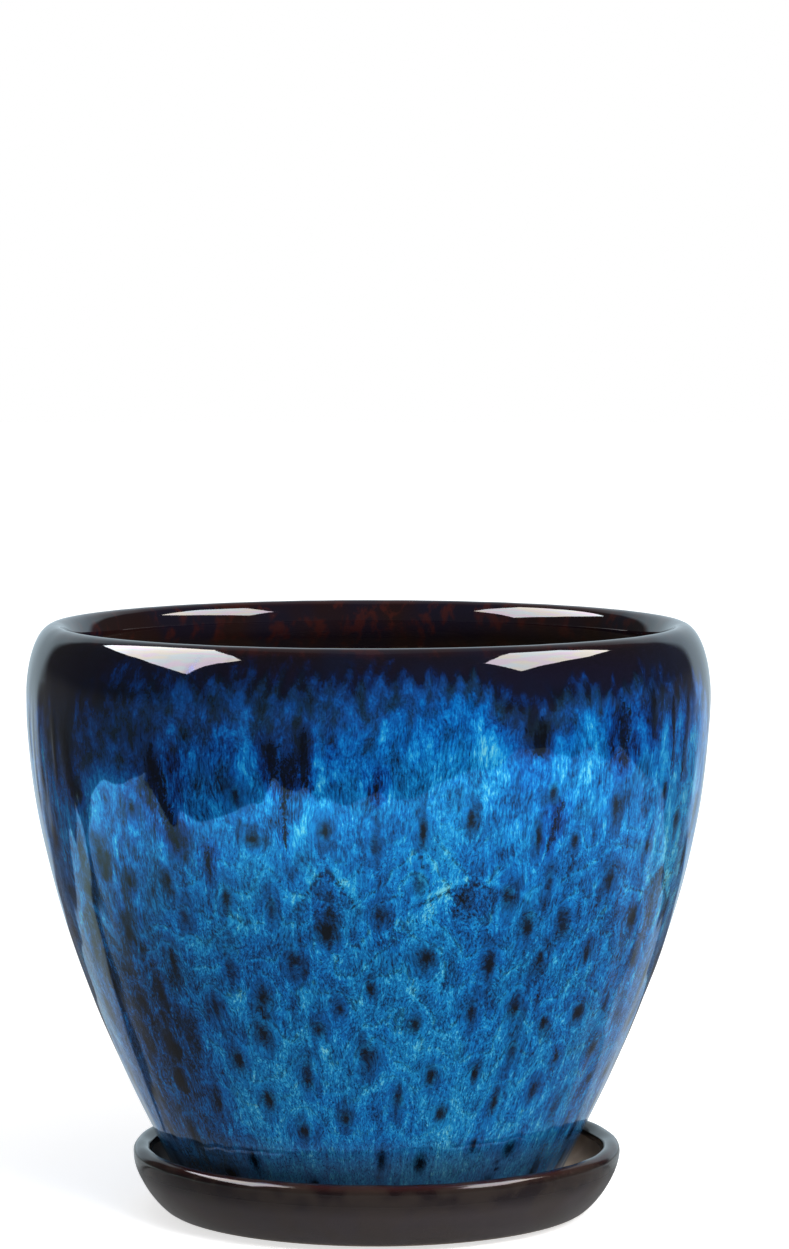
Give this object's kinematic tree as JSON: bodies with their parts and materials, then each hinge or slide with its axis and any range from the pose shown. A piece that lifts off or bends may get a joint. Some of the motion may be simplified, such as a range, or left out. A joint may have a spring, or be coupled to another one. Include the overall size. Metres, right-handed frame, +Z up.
{
  "type": "plant pot",
  "caption": "Round glazed plant pot with a rolled rim and a drain hole, standing in its own saucer on felt pads, with a mesh screen over the hole.",
  "frame": {"origin": "on the surface that the pads stand on, on the pot's axis", "axes": "+Z up along the pot's axis, +X to the right of the picture's view, which looks along +Y"},
  "size_m": [0.26, 0.26, 0.2255],
  "materials": {
    "pot_glaze": "glossy flowing blue glaze under a near-black rim",
    "saucer_glaze": "glossy dark brown glaze",
    "netting": "matt black netting",
    "felt": "dense brown felt"
  },
  "bodies": {
    "saucer": {"saucer": "saucer_glaze", "felt_pad_1": "felt", "felt_pad_2": "felt", "felt_pad_3": "felt", "felt_pad_4": "felt"},
    "pot": {"pot": "pot_glaze"},
    "drain_screen": {"drain_screen": "netting"}
  },
  "joints": [
    {"name": "pot_lift", "type": "slide", "parent": "saucer", "child": "pot", "axis": [0, 0, 1], "range_m": [0, 0.1]},
    {"name": "screen_lift", "type": "slide", "parent": "pot", "child": "drain_screen", "axis": [0, 0, 1], "range_m": [0, 0.23]}
  ]
}
